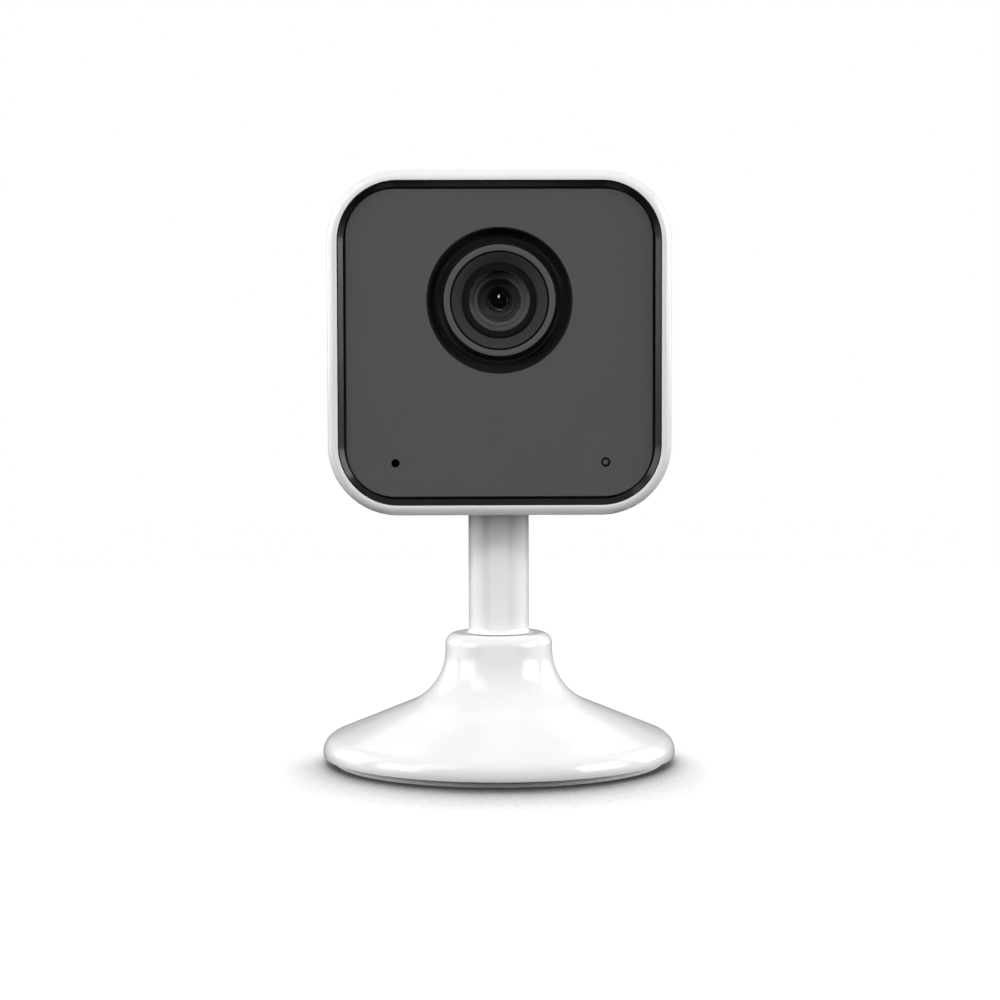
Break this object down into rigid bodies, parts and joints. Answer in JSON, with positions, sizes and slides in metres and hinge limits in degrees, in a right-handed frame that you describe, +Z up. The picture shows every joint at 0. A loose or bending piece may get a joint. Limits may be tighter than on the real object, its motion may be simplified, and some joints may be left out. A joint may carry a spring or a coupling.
{
  "type": "indoor security camera",
  "caption": "Square rounded indoor camera head with a dark front plate and recessed lens, tilting and turning on a stem with a round flared white base.",
  "frame": {"origin": "centre of the foot pad's underside, on the table, on the stem's axis", "axes": "+Z up along the stem, the lens looks along -Y, +X to the right of someone facing the lens"},
  "size_m": [0.0644, 0.0644, 0.1072],
  "materials": {
    "white_gloss_plastic": "glossy white ABS",
    "dark_plate": "dark grey tinted polycarbonate, satin gloss",
    "dark_bezel": "dark grey ABS",
    "black_gloss": "polished black",
    "grey_ring": "satin dark grey",
    "black_matte": "matt black",
    "glass": "coated optical glass",
    "filter_glass": "infrared-cut coated glass",
    "light_pipe": "clear acrylic",
    "rubber": "matt grey rubber",
    "black_foam": "black foam",
    "steel": "zinc-plated steel",
    "spring_steel": "blued spring steel",
    "screw_steel": "nickel-plated",
    "magnet": "sintered ferrite",
    "nylon": "natural acetal",
    "board": "green solder mask on glass-epoxy",
    "sensor_chip": "sensor package",
    "brass": "turned brass",
    "flex": "polyimide film",
    "copper": "copper coil in a can",
    "led_body": "moulded epoxy",
    "thermal_rubber": "silicone pad",
    "aluminium": "plain aluminium",
    "socket_steel": "tinned steel shell"
  },
  "bodies": {
    "base": {"base_shell": "white_gloss_plastic", "base_cover": "white_gloss_plastic", "foot_pad": "rubber", "base_weight": "steel", "base_magnet": "magnet", "base_screws": "screw_steel", "swivel_bush": "nylon"},
    "stem": {"stem": "white_gloss_plastic", "swivel_washer": "steel", "swivel_spring": "spring_steel", "swivel_screw": "screw_steel"},
    "head": {"rear_shell": "white_gloss_plastic", "hinge_yoke": "steel", "hinge_pin": "screw_steel", "hinge_nut": "screw_steel", "hinge_washers": "nylon", "yoke_screws": "screw_steel", "front_bezel": "dark_bezel", "front_plate": "dark_plate", "lens_surround": "black_gloss", "lens_trim_ring": "grey_ring", "lens_barrel": "black_matte", "lens_retainer": "black_matte", "lens_front_element": "glass", "lens_middle_element": "glass", "aperture_stop": "black_matte", "lens_rear_element": "glass", "lens_holder": "black_matte", "holder_screws": "screw_steel", "filter_actuator": "copper", "image_sensor": "sensor_chip", "sensor_board": "board", "board_spacers": "brass", "sensor_flex": "flex", "front_board": "board", "front_board_screws": "screw_steel", "ir_leds": "led_body", "light_sensor": "black_matte", "status_led": "led_body", "light_pipe": "light_pipe", "microphone": "socket_steel", "mic_gasket": "black_foam", "main_board": "board", "main_board_screws": "screw_steel", "soc_chip": "black_matte", "thermal_pad": "thermal_rubber", "heat_spreader": "aluminium", "wifi_antenna": "flex", "speaker": "black_matte", "speaker_gasket": "black_foam", "usb_port": "socket_steel", "sd_socket": "socket_steel", "reset_switch": "black_matte"},
    "reset_button": {"reset_button": "white_gloss_plastic"},
    "filter_slide": {"filter_frame": "nylon", "ir_cut_glass": "filter_glass", "clear_glass": "glass"},
    "filter_lever": {"filter_lever": "nylon"}
  },
  "joints": [
    {"name": "pan", "type": "hinge", "parent": "base", "child": "stem", "pos_m": [0, 0, 0.02], "axis": [0, 0, 1], "continuous": true},
    {"name": "tilt", "type": "hinge", "parent": "stem", "child": "head", "pos_m": [0, 0, 0.0532], "axis": [-1, 0, 0], "range_deg": [-15, 90]},
    {"name": "reset_press", "type": "slide", "parent": "head", "child": "reset_button", "axis": [0, -1, 0], "range_m": [0, 0.0005], "stiffness_N_per_m": 300},
    {"name": "night_filter", "type": "slide", "parent": "head", "child": "filter_slide", "axis": [1, 0, 0], "range_m": [0, 0.0054]},
    {"name": "night_lever", "type": "hinge", "parent": "head", "child": "filter_lever", "pos_m": [0, -0.0019, 0.1006], "axis": [0, -1, 0], "range_deg": [0, 45.5]}
  ],
  "couplings": [
    {"joint": "night_lever", "follows": "night_filter", "rad_per_m": 146.65}
  ]
}
